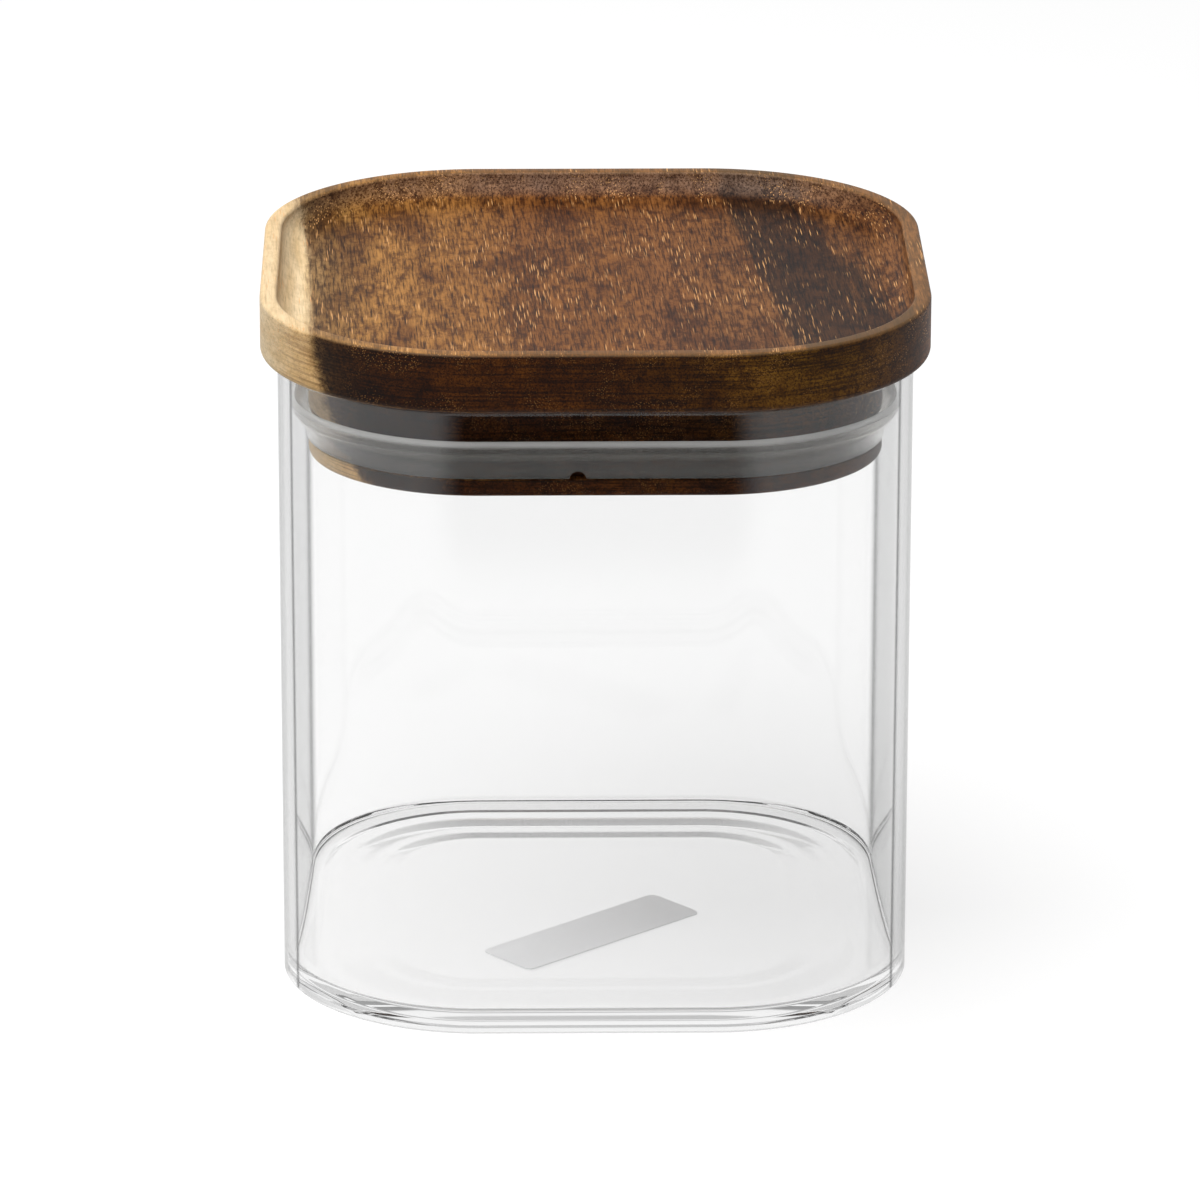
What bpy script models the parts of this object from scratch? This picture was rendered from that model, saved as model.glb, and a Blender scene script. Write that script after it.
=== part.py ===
"""Rounded-square glass storage jar with a solid wooden plug lid.

Lengths are in metres and +Z is up. The jar stands on z = 0 with the z axis
through its middle. The lid is drawn closed, and lifts straight up along that
axis. The front of the jar faces -Y.
"""
import math

import bmesh
import bpy
from mathutils import Matrix, Vector

# Glass body: one blown piece, the same thickness all round its wall
jar_side = 0.0950
jar_corner_radius = 0.0300
jar_height = 0.0977
wall_thickness = 0.0016
base_thickness = 0.0032
base_outer_round = 0.0006
base_inner_round = 0.0026
base_inner_rise = 0.0007

# Underside of the base: a flat foot ring, then three shallow steps up to the hollow
foot_width = 0.0030
outer_step_width = 0.00076
outer_step_rise = 0.00009
outer_flat = 0.0019
middle_step_width = 0.0050
middle_step_rise = 0.00026
inner_flat = 0.0022
inner_step_width = 0.0033
inner_step_rise = 0.00025

# Lid: cap and plug are one block of wood
lid_overhang = 0.0025
cap_thickness = 0.0090
cap_lower_round = 0.0010
cap_upper_round = 0.0006
tray_rim_width = 0.0026
tray_depth = 0.0035
tray_cove_radius = 0.0040
plug_clearance = 0.0030
plug_depth = 0.0148
plug_lower_round = 0.0008
plug_toe_height = 0.0026
groove_height = 0.0050
groove_depth = 0.0020

# Seal: a ring that fills the groove, with a lip that flares up to the glass
seal_lip_rise = 0.0063
seal_lip_tip = 0.0006
seal_lip_root = 0.0012
seal_notch_radius = 0.0012
seal_notch_place = -0.0030

# Label: a thin sticker in the hollow under the base, set askew
label_length = 0.0357
label_width = 0.0109
label_corner_radius = 0.0012
label_thickness = 0.00015
label_across = -0.0003
label_forward = 0.0100
label_turn = math.radians(41.7)

# Gap between pieces that touch on the real jar
seat_gap = 0.0003
cut_overrun = 0.0010

# Least sizes that keep the outlines sound
least_corner_radius = 0.0002
least_step = 0.00001

# Number of faces on each kind of round
corner_steps = 16
round_steps = 6
rim_steps = 8
cove_steps = 8
lip_steps = 6
slope_steps = 4
notch_sides = 24

# Places that follow from the sizes
jar_half = jar_side / 2
mouth_half = jar_half - wall_thickness
corner_centre = jar_half - jar_corner_radius
cap_half = jar_half + lid_overhang
plug_half = mouth_half - plug_clearance
lid_seat_height = jar_height + seat_gap
hollow_height = outer_step_rise + middle_step_rise + inner_step_rise
groove_floor = plug_toe_height - plug_depth
groove_top = groove_floor + groove_height


def arc(centre, radius, start, end, steps, rise=None):
    """Points of a section on an arc from angle start to angle end, in degrees.

    A rise that differs from the radius makes it a quarter of an oval.
    """
    radius_up = rise or radius
    points = []
    for step in range(steps + 1):
        angle = math.radians(start + (end - start) * step / steps)
        across = centre[0] + radius * math.cos(angle)
        up = centre[1] + radius_up * math.sin(angle)
        points.append((across, up))
    return points


def ease(start, end, steps):
    """Points of a section on an S-shaped slope that leaves and arrives level."""
    points = []
    for step in range(steps + 1):
        along = step / steps
        climb = (1 - math.cos(math.pi * along)) / 2
        across = start[0] + (end[0] - start[0]) * along
        up = start[1] + (end[1] - start[1]) * climb
        points.append((across, up))
    return points


def chain(*runs):
    """One section from several runs of points, without points that repeat the one before."""
    section = []
    for run in runs:
        for point in run:
            if not section or math.dist(point, section[-1]) > least_step:
                section.append(point)
    return section


def rounded_outline(half_x, half_y, radius, height):
    """A rectangle with round corners, seen from above, counter-clockwise."""
    signs = ((1, 1), (-1, 1), (-1, -1), (1, -1))
    points = []
    for quarter, (side_x, side_y) in enumerate(signs):
        centre_x = side_x * (half_x - radius)
        centre_y = side_y * (half_y - radius)
        for step in range(corner_steps + 1):
            angle = math.radians(90) * (quarter + step / corner_steps)
            x = centre_x + radius * math.cos(angle)
            y = centre_y + radius * math.sin(angle)
            points.append(Vector((x, y, height)))
    return points


def jar_outline(half_side, height):
    """The jar's own plan, wider or narrower, always round the same corner centres."""
    radius = max(half_side - corner_centre, least_corner_radius)
    return rounded_outline(half_side, half_side, radius, height)


def add_band(builder, lower, upper):
    """Faces between two outlines that have the same number of points."""
    count = len(lower)
    for index in range(count):
        after = (index + 1) % count
        builder.faces.new((lower[index], lower[after], upper[after], upper[index]))


def loft(name, outlines, material, is_ring=False):
    """A closed solid through the outlines in turn, capped at both ends or joined round."""
    builder = bmesh.new()
    loops = []
    for outline in outlines:
        loops.append([builder.verts.new(point) for point in outline])
    for lower, upper in zip(loops, loops[1:]):
        add_band(builder, lower, upper)
    if is_ring:
        add_band(builder, loops[-1], loops[0])
    else:
        builder.faces.new(loops[0])
        builder.faces.new(loops[-1])
    bmesh.ops.recalc_face_normals(builder, faces=builder.faces)
    mesh = bpy.data.meshes.new(name)
    builder.to_mesh(mesh)
    builder.free()
    mesh.shade_smooth()
    mesh.set_sharp_from_angle(angle=math.radians(35))
    mesh.materials.append(material)
    piece = bpy.data.objects.new(name, mesh)
    bpy.context.collection.objects.link(piece)
    return piece


def finish(name, colour, roughness, transmission=0.0, ior=1.5):
    """A plain Principled material."""
    material = bpy.data.materials.new(name)
    material.use_nodes = True
    shader = material.node_tree.nodes["Principled BSDF"]
    shader.inputs["Base Color"].default_value = (*colour, 1.0)
    shader.inputs["Roughness"].default_value = roughness
    shader.inputs["Metallic"].default_value = 0.0
    shader.inputs["Transmission Weight"].default_value = transmission
    shader.inputs["IOR"].default_value = ior
    return material


def hollow_section(foot_inner):
    """The underside, from the flat middle of the hollow down its steps to the foot ring."""
    steps = (
        (outer_step_width, outer_step_rise, outer_flat),
        (middle_step_width, middle_step_rise, inner_flat),
        (inner_step_width, inner_step_rise, 0))
    across = foot_inner
    up = 0
    runs = []
    for width, rise, flat in steps:
        runs.append(ease((across - width, up + rise), (across, up), slope_steps))
        across -= width + flat
        up += rise
    return chain(*reversed(runs))


def jar_section():
    """Section of the glass, from the middle of the underside round to the floor inside."""
    foot_outer = jar_half - base_outer_round
    rim_radius = wall_thickness / 2
    floor_edge = (mouth_half - base_inner_round, base_thickness + base_inner_rise)
    hollow = hollow_section(foot_outer - foot_width)
    outer_round = arc((foot_outer, base_outer_round), base_outer_round, -90, 0, round_steps)
    rim = arc((jar_half - rim_radius, jar_height - rim_radius), rim_radius, 0, 180, rim_steps)
    inner_round = arc(floor_edge, base_inner_round, 0, -90, round_steps, base_inner_rise)
    return chain(hollow, outer_round, rim, inner_round)


def build_jar():
    """The glass body: foot, walls, fire-polished rim and thick floor in one piece."""
    glass = finish("borosilicate_glass", (0.93, 0.95, 0.94), 0.0, transmission=1.0, ior=1.47)
    outlines = [jar_outline(half_side, height) for half_side, height in jar_section()]
    return loft("glass_jar", outlines, glass)


def lid_section():
    """Section of the lid, from under the plug to the floor of the tray.

    Heights are counted from the underside of the cap.
    """
    groove_back = plug_half - groove_depth
    rim_edge = cap_half - tray_rim_width
    tray_floor = cap_thickness - tray_depth
    cove_lift = min(tray_depth - cap_upper_round, tray_cove_radius)
    cove_angle = math.degrees(math.acos(1 - cove_lift / tray_cove_radius))
    cove_width = tray_cove_radius * math.sin(math.radians(cove_angle))
    cove_centre = (rim_edge - cove_width, tray_floor + tray_cove_radius)

    upper_round_height = cap_thickness - cap_upper_round
    toe = arc((plug_half - plug_lower_round, plug_lower_round - plug_depth), plug_lower_round,
              -90, 0, round_steps)
    groove = [(plug_half, groove_floor), (groove_back, groove_floor)]
    groove += [(groove_back, groove_top), (plug_half, groove_top), (plug_half, 0)]
    lower_round = arc((cap_half - cap_lower_round, cap_lower_round), cap_lower_round, -90, 0, round_steps)
    outer_round = arc((cap_half - cap_upper_round, upper_round_height), cap_upper_round, 0, 90, round_steps)
    inner_round = arc((rim_edge + cap_upper_round, upper_round_height), cap_upper_round, 90, 180,
                      round_steps)
    cove = arc(cove_centre, tray_cove_radius, cove_angle - 90, -90, cove_steps)
    return chain(toe, groove, lower_round, outer_round, inner_round, cove)


def build_lid(carrier):
    """Cap with a dished tray on top and a grooved plug below, cut from one block."""
    acacia = finish("oiled_acacia", (0.24, 0.125, 0.06), 0.5)
    outlines = [jar_outline(half_side, height) for half_side, height in lid_section()]
    lid = loft("wooden_lid", outlines, acacia)
    lid.parent = carrier
    return lid


def seal_section():
    """Section of the seal: a foot in the groove, and a lip curving out and up to the glass.

    Heights are counted from the underside of the cap.
    """
    foot_back = plug_half - groove_depth + seat_gap
    foot_top = groove_top - seat_gap
    foot_bottom = groove_floor + seat_gap
    lip_root = plug_half + seat_gap
    lip_end = mouth_half - seat_gap
    lip_top = foot_bottom + seal_lip_rise
    outer = []
    inner = []
    for step in range(lip_steps + 1):
        along = step / lip_steps
        flare = math.sin(along * math.radians(90)) ** 2
        outer.append((lip_root + (lip_end - lip_root) * flare,
                      foot_bottom + (lip_top - seal_lip_tip - foot_bottom) * along))
    for step in range(lip_steps):
        along = step / lip_steps
        flare = math.cos(along * math.radians(90)) ** 2
        inner.append((lip_root + (lip_end - seal_lip_tip - lip_root) * flare,
                      lip_top + (foot_top - seal_lip_root - lip_top) * along))
    foot = [(lip_root, foot_top - seal_lip_root), (lip_root - seat_gap, foot_top), (foot_back, foot_top)]
    return chain([(foot_back, foot_bottom)], outer, inner, foot)


def cut_notch(seal, carrier, bottom):
    """A half-round vent notch through the lower edge of the seal, at the front."""
    reach = groove_depth + plug_clearance + cut_overrun
    middle = plug_half - groove_depth + reach / 2
    builder = bmesh.new()
    bmesh.ops.create_cone(builder, cap_ends=True, segments=notch_sides, radius1=seal_notch_radius,
                          radius2=seal_notch_radius, depth=reach + cut_overrun)
    mesh = bpy.data.meshes.new("notch_cutter")
    builder.to_mesh(mesh)
    builder.free()
    cutter = bpy.data.objects.new("notch_cutter", mesh)
    bpy.context.collection.objects.link(cutter)
    cutter.rotation_euler = (math.radians(90), 0, 0)
    cutter.location = (seal_notch_place, -middle, bottom)
    cutter.parent = carrier
    cutter.display_type = "WIRE"
    cutter.hide_render = True
    notch = seal.modifiers.new("vent_notch", "BOOLEAN")
    notch.operation = "DIFFERENCE"
    notch.solver = "EXACT"
    notch.object = cutter


def build_seal(carrier):
    """The translucent ring round the plug."""
    silicone = finish("clear_silicone", (0.60, 0.61, 0.60), 0.45, transmission=0.4, ior=1.41)
    section = seal_section()
    outlines = [jar_outline(half_side, height) for half_side, height in section]
    seal = loft("silicone_seal", outlines, silicone, is_ring=True)
    seal.parent = carrier
    cut_notch(seal, carrier, section[0][1])
    return seal


def build_label():
    """A blank sticker stuck up inside the hollow of the base."""
    paper = finish("grey_label", (0.58, 0.60, 0.61), 0.6)
    top = hollow_height - seat_gap
    outlines = []
    for height in (top - label_thickness, top):
        outlines.append(rounded_outline(label_length / 2, label_width / 2, label_corner_radius, height))
    label = loft("base_label", outlines, paper)
    label.rotation_euler = (0, 0, label_turn)
    label.location = (label_across, -label_forward, 0)
    return label


def main():
    for leftover in list(bpy.data.objects):
        bpy.data.objects.remove(leftover, do_unlink=True)
    build_jar()
    build_label()
    carrier = bpy.data.objects.new("lid_lift", None)
    carrier.location = (0, 0, lid_seat_height)
    bpy.context.collection.objects.link(carrier)
    build_lid(carrier)
    build_seal(carrier)
    bpy.context.view_layer.update()


main()
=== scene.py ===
# %% [markdown]
# # A square glass jar with an acacia lid
#
# This lesson dresses a measured model of a kitchen jar: a blown glass body, a lid cut
# from one block of acacia, a clear silicone seal round the lid's plug and a blank
# sticker under the base. The measured model gives every piece its place. Blender gives
# the pieces smooth surfaces, materials, light and a camera.

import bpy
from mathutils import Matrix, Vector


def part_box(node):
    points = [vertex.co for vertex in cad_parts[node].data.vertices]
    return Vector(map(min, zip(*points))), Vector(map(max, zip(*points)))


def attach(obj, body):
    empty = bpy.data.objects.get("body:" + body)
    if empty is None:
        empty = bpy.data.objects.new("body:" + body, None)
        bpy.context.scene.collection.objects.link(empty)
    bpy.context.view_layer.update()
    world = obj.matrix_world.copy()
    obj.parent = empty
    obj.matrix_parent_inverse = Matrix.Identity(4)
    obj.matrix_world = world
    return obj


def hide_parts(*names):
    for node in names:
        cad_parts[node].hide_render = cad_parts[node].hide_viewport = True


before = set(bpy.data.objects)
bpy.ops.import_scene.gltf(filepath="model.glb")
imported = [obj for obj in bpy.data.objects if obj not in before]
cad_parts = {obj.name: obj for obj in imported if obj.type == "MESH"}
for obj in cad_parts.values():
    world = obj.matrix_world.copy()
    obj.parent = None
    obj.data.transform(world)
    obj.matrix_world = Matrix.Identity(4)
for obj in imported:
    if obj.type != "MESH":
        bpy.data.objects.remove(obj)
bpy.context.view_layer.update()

# %% Tools that the lesson uses
import math

import bmesh
import bpy
from mathutils import Matrix, Vector

# %% [markdown]
# ## Colours, lengths and nodes
#
# Colours are written as sRGB hex values, the way a paint chart or a photo editor shows
# them. Blender mixes light with linear values, so one function turns hex to linear.
# Lengths are in metres, as the model is; `MM` turns a size in millimetres to metres.

# %% One unit and one colour function
MM = 0.001


def linear(hex_colour):
    """An sRGB hex colour as the linear RGBA that shaders read."""
    channels = []
    for start in (1, 3, 5):
        value = int(hex_colour[start:start + 2], 16) / 255
        channels.append(value / 12.92 if value <= 0.04045 else ((value + 0.055) / 1.055) ** 2.4)
    return (*channels, 1.0)


# %% [markdown]
# A material is a small network of nodes. Writing each node by hand takes four lines, so
# one function adds a node, sets it and links it. A keyword names a setting of the node,
# and an entry of `wires` names an input. A number or colour is set there, an output of
# another node is linked to it, and a whole node is linked by its first output in use.

# %% Add a node with its settings and links
def node(tree, kind, wires=None, **settings):
    """Adds one node, with settings such as operation="ADD" and inputs such as {"Scale": 5}."""
    made = tree.nodes.new(kind)
    for name, value in settings.items():
        setattr(made, name, value)
    for name, value in (wires or {}).items():
        if isinstance(value, bpy.types.Node):
            value = next(socket for socket in value.outputs if socket.enabled)
        if isinstance(value, bpy.types.NodeSocket):
            tree.links.new(value, made.inputs[name])
        else:
            made.inputs[name].default_value = value
    return made


def new_material(name):
    """An empty material with its output node."""
    material = bpy.data.materials.new(name)
    material.use_nodes = True
    material.node_tree.nodes.clear()
    output = node(material.node_tree, "ShaderNodeOutputMaterial")
    return material, material.node_tree, output


# %% [markdown]
# The kinds of node that come back often get short names here. Math and Vector Math do
# one sum on inputs 0, 1 and 2. Map Range turns one scale into another: with `SMOOTH` it
# is 0 up to its start, 1 from its end and eased between, and its start may be the larger.
# A Mix node has a pair of inputs for each kind of data, so its colour inputs are numbered.

# %% Short names for nodes
MATH = "ShaderNodeMath"
VECTOR_MATH = "ShaderNodeVectorMath"
MAP_RANGE = "ShaderNodeMapRange"
SMOOTH = "SMOOTHSTEP"
NOISE = "ShaderNodeTexNoise"
XYZ = "ShaderNodeSeparateXYZ"
COORDINATES = "ShaderNodeTexCoord"
LIGHT_PATH = "ShaderNodeLightPath"
PRINCIPLED = "ShaderNodeBsdfPrincipled"
MIX_SHADER = "ShaderNodeMixShader"
MIX = "ShaderNodeMix"
SHARE, FIRST, SECOND = 0, 6, 7

# %% [markdown]
# ## The jar's plan
#
# Seen from above, every piece of this jar is the same rounded square, only wider or
# narrower: the glass, its mouth, the plug, the seal and the cap are cut round the same
# four corner centres, like lanes of a running track. So a solid is a list of (half
# width, height) points, its section, and each point becomes one outline. Skinning the
# outlines gives walls of even thickness, which clear glass shows at once if they aren't.

# %% The plan's outline
JAR_CORNER_RADIUS = 30.0 * MM
LEAST_RADIUS = 0.2 * MM
CORNER_STEPS = 120

glass_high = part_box("glass_jar")[1]
JAR_HALF = glass_high.x
JAR_TOP = glass_high.z
CORNER_CENTRE = JAR_HALF - JAR_CORNER_RADIUS
print("corner centres at", round(CORNER_CENTRE / MM, 1), "mm from the middle")


def rounded_outline(half_x, half_y, radius, height):
    """A rectangle with round corners, seen from above, counter-clockwise."""
    points = []
    for quarter, (side_x, side_y) in enumerate(((1, 1), (-1, 1), (-1, -1), (1, -1))):
        for step in range(CORNER_STEPS + 1):
            angle = math.radians(90) * (quarter + step / CORNER_STEPS)
            x = side_x * (half_x - radius) + radius * math.cos(angle)
            y = side_y * (half_y - radius) + radius * math.sin(angle)
            points.append(Vector((x, y, height)))
    return points


def jar_outline(half, height):
    """The jar's plan at some half width, round the shared corner centres."""
    return rounded_outline(half, half, max(half - CORNER_CENTRE, LEAST_RADIUS), height)


# %% [markdown]
# Sections are made of two kinds of curve: arcs, which a rounded edge or a cove leaves,
# and ramps, straight slopes that start and end level, as a mould leaves them in glass.

# %% Curves of a section
def arc(centre, radius, start, end, steps, rise=None):
    """Section points on an arc from angle start to end in degrees; rise makes it an oval."""
    points = []
    for step in range(steps + 1):
        angle = math.radians(start + (end - start) * step / steps)
        across = centre[0] + radius * math.cos(angle)
        up = centre[1] + (rise or radius) * math.sin(angle)
        points.append((across, up))
    return points


def ramp(start, end, round_share, steps):
    """Section points on a straight slope that leaves and arrives level, round at both ends."""
    points = []
    for step in range(steps + 1):
        along = step / steps
        from_end = min(along, 1 - along)
        if from_end < round_share:
            climb = from_end ** 2 / (2 * round_share) / (1 - round_share)
        else:
            climb = (from_end - round_share / 2) / (1 - round_share)
        if along > 0.5:
            climb = 1 - climb
        points.append((start[0] + (end[0] - start[0]) * along, start[1] + (end[1] - start[1]) * climb))
    return points


# %% [markdown]
# One function skins any list of outlines with four-sided faces. It closes the ends for
# a solid and joins the last outline to the first for a ring. Edges bent by more than
# `sharp_angle` degrees stay crisp; the rest are shaded smooth.

# %% Skin the outlines
def skin(name, outlines, material, is_ring=False, sharp_angle=40):
    """One closed mesh through the outlines, capped at both ends or joined round."""
    builder = bmesh.new()
    loops = [[builder.verts.new(point) for point in outline] for outline in outlines]
    pairs = list(zip(loops, loops[1:]))
    if is_ring:
        pairs.append((loops[-1], loops[0]))
    else:
        builder.faces.new(loops[0])
        builder.faces.new(loops[-1])
    for lower, upper in pairs:
        count = len(lower)
        for index in range(count):
            after = (index + 1) % count
            builder.faces.new((lower[index], lower[after], upper[after], upper[index]))
    bmesh.ops.recalc_face_normals(builder, faces=builder.faces)
    mesh = bpy.data.meshes.new(name)
    builder.to_mesh(mesh)
    builder.free()
    mesh.shade_smooth()
    mesh.set_sharp_from_angle(angle=math.radians(sharp_angle))
    mesh.materials.append(material)
    piece = bpy.data.objects.new(name, mesh)
    bpy.context.collection.objects.link(piece)
    print(name, len(mesh.vertices), "points")
    return piece


# %% [markdown]
# Smooth shading blends the directions of neighbouring faces. Where a long flat wall
# meets a small round, a plain blend would tilt the light over the whole wall, and the
# jar would look like bottle glass. Weighing each face by its area keeps flats flat.

# %% Keep flats flat
NORMAL_WEIGHT = 50


def weigh_by_area(piece):
    """Gives each corner the direction of the largest face that it shares."""
    weights = piece.modifiers.new("weigh_by_area", "WEIGHTED_NORMAL")
    weights.mode = "FACE_AREA"
    weights.weight = NORMAL_WEIGHT
    weights.keep_sharp = True


# %% [markdown]
# ## The glass body
#
# The real body is blown borosilicate: a wall 1.6 mm thick, a floor about twice as thick,
# a foot ring to stand on round a shallow hollow, and a rim melted round by a flame. The
# rounds at the base bend the light most, so they get many more steps than the model has.
#
# The glass's outline gets painted shade, a stand-in for the dark reflections along it.
# Layer Weight's Facing output is 0 where the surface faces the eye and 1 where it is
# seen edge-on, so the painted shade deepens the glass's tint there, from every side. Near
# the outline, where the wall's inner face starts to mirror, a narrow painted dark line is
# darker still. That line belongs to upright glass that no ray has crossed yet.

# %% Measures of the glass's tint and its painted edge shade
BOROSILICATE_IOR = 1.47
GLASS_TINT = "#F7F7F7"
GLASS_PAINTED_EDGE_SHADE = "#5A5B5B"
GLASS_PAINTED_LINE_SHADE = "#2C2D2D"
SHADOW_TINT = "#FEFEFE"
EDGE_FROM = 0.70
EDGE_TO = 0.90
LINE_FROM = 0.63
LINE_FULL = 0.66
LINE_TO = 0.69
UPRIGHT_WITHIN = 0.3
NO_CROSSING = 0.5


def tint_with_painted_edge_shade(tree, ray):
    """The glass's tint, deepened at its outline by painted shade, with one painted dark line."""
    facing = node(tree, "ShaderNodeLayerWeight").outputs["Facing"]
    normal = node(tree, XYZ, {"Vector": node(tree, COORDINATES).outputs["Normal"]})
    lean = node(tree, MATH, {0: normal.outputs["Z"]}, operation="ABSOLUTE")
    upright = node(tree, MATH, {0: lean, 1: UPRIGHT_WITHIN}, operation="LESS_THAN")
    uncrossed = node(tree, MATH, {0: ray.outputs["Transmission Depth"], 1: NO_CROSSING},
                     operation="LESS_THAN")
    here = node(tree, MATH, {0: upright, 1: uncrossed}, operation="MULTIPLY")
    begins = node(tree, MAP_RANGE, {"Value": facing, "From Min": LINE_FROM, "From Max": LINE_FULL},
                  interpolation_type=SMOOTH)
    ends = node(tree, MAP_RANGE, {"Value": facing, "From Min": LINE_TO, "From Max": LINE_FULL},
                interpolation_type=SMOOTH)
    # The painted dark line: a narrow band of Facing on upright glass that no ray has crossed.
    line = node(tree, MATH, {0: begins, 1: ends}, operation="MULTIPLY")
    line = node(tree, MATH, {0: line, 1: here}, operation="MULTIPLY")
    edge = node(tree, MAP_RANGE, {"Value": facing, "From Min": EDGE_FROM, "From Max": EDGE_TO},
                interpolation_type=SMOOTH)
    # The glass's own tint, deepened by painted shade towards the outline, then by the painted dark line.
    tint = node(tree, MIX, {SHARE: edge, FIRST: linear(GLASS_TINT), SECOND: linear(GLASS_PAINTED_EDGE_SHADE)},
                data_type="RGBA")
    return node(tree, MIX, {SHARE: line, FIRST: tint, SECOND: linear(GLASS_PAINTED_LINE_SHADE)}, data_type="RGBA")


# %% [markdown]
# Light that glass bends and gathers is slow to compute and full of sparkle. So rays that
# only carry light to or from a matt surface pass straight through, hardly tinted.

# %% Clear borosilicate
def borosilicate_glass():
    """Clear, flame-polished glass: smooth, its looks from refraction, with painted shade at its outline."""
    material, tree, output = new_material("borosilicate_glass")
    ray = node(tree, LIGHT_PATH)
    glass = node(tree, PRINCIPLED, {
        "Base Color": tint_with_painted_edge_shade(tree, ray), "Roughness": 0.0, "IOR": BOROSILICATE_IOR,
        "Transmission Weight": 1.0})
    lighting = node(tree, MATH, {0: ray.outputs["Is Shadow Ray"], 1: ray.outputs["Is Diffuse Ray"]},
                    operation="MAXIMUM")
    clear = node(tree, "ShaderNodeBsdfTransparent", {"Color": linear(SHADOW_TINT)})
    surface = node(tree, MIX_SHADER, {0: lighting, 1: glass, 2: clear})
    tree.links.new(surface.outputs["Shader"], output.inputs["Surface"])
    return material


# %% [markdown]
# The underside isn't plain. Inside the foot ring it rises in three shallow ramps, half a
# millimetre in all. Looked at through the floor, each ramp is just steep enough to
# mirror the dark room overhead, which is why three dark bands run along the far edge of
# the real base. The ramps' sizes come from tracing rays through this section.

# %% The glass's section
WALL = 1.6 * MM
BASE_THICKNESS = 3.2 * MM
BASE_OUTER_ROUND = 0.4 * MM
BASE_INNER_ROUND = 2.1 * MM
BASE_INNER_RISE = 0.67 * MM
FOOT_WIDTH = 3.37 * MM
RAMPS_WIDTH_RISE_FLAT = (
    (1.52 * MM, 0.09 * MM, 1.82 * MM),
    (5.89 * MM, 0.25 * MM, 0.91 * MM),
    (3.71 * MM, 0.166 * MM, 0.0 * MM))
RAMP_ROUND_SHARE = 0.2
RAMP_STEPS = 20
MOUTH_HALF = JAR_HALF - WALL


def underside():
    """From the flat hollow in the middle, down the three ramps, to the foot ring."""
    across = JAR_HALF - BASE_OUTER_ROUND - FOOT_WIDTH
    up = 0.0
    runs = []
    for width, rise, flat in RAMPS_WIDTH_RISE_FLAT:
        runs.append(ramp((across - width, up + rise), (across, up), RAMP_ROUND_SHARE, RAMP_STEPS))
        across -= width + flat
        up += rise
    print("the hollow is", round(up / MM, 2), "mm deep")
    return [point for run in reversed(runs) for point in run]


def glass_section():
    """The underside, then over the foot, wall and rim, to the floor inside."""
    foot_outer = JAR_HALF - BASE_OUTER_ROUND
    section = underside()
    section += arc((foot_outer, BASE_OUTER_ROUND), BASE_OUTER_ROUND, -90, 0, 12)
    section += arc((JAR_HALF - WALL / 2, JAR_TOP - WALL / 2), WALL / 2, 0, 180, 16)
    inner_centre = (MOUTH_HALF - BASE_INNER_ROUND, BASE_THICKNESS + BASE_INNER_RISE)
    section += arc(inner_centre, BASE_INNER_ROUND, 0, -90, 24, rise=BASE_INNER_RISE)
    return section


# %% Glass body
glass_body = skin("glass_body", [jar_outline(half, height) for half, height in glass_section()],
                  borosilicate_glass())
weigh_by_area(glass_body)
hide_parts("glass_jar")
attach(glass_body, "jar")

# %% [markdown]
# ## The wooden lid
#
# Cap and plug are one block of acacia, milled and sanded: a tray is dished into the top
# and a groove for the seal is cut round the plug. The edges are broken by sandpaper, so
# each one is a small round that catches a line of light. Cap and plug share one section
# here too, so nothing has to be joined.

# %% Measures of the lid
CAP_LOWER_ROUND = 1.0 * MM
CAP_UPPER_ROUND = 0.6 * MM
CAP_THICKNESS = 9.0 * MM
TRAY_RIM_WIDTH = 2.6 * MM
TRAY_DEPTH = 3.5 * MM
TRAY_COVE_RADIUS = 4.0 * MM
PLUG_CLEARANCE = 3.0 * MM
PLUG_ROUND = 0.8 * MM
PLUG_TOE_HEIGHT = 2.6 * MM
GROOVE_HEIGHT = 5.0 * MM
GROOVE_DEPTH = 2.0 * MM
EDGE_BREAK = 0.2 * MM

lid_low, lid_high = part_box("wooden_lid")
CAP_HALF = lid_high.x
PLUG_HALF = MOUTH_HALF - PLUG_CLEARANCE
CAP_BOTTOM = lid_high.z - CAP_THICKNESS
GROOVE_TOP = lid_low.z + PLUG_TOE_HEIGHT + GROOVE_HEIGHT
print("the plug goes", round((CAP_BOTTOM - lid_low.z) / MM, 1), "mm into the jar")


# %% Lid section
def plug_section():
    """From under the plug, out over the groove, up to the cap."""
    groove_floor = GROOVE_TOP - GROOVE_HEIGHT
    groove_back = PLUG_HALF - GROOVE_DEPTH
    section = arc((PLUG_HALF - PLUG_ROUND, lid_low.z + PLUG_ROUND), PLUG_ROUND, -90, 0, 8)
    section += arc((PLUG_HALF - EDGE_BREAK, groove_floor - EDGE_BREAK), EDGE_BREAK, 0, 90, 3)
    section += [(groove_back, groove_floor), (groove_back, GROOVE_TOP)]
    section += arc((PLUG_HALF - EDGE_BREAK, GROOVE_TOP + EDGE_BREAK), EDGE_BREAK, -90, 0, 3)
    section += [(PLUG_HALF, CAP_BOTTOM)]
    return section


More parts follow.
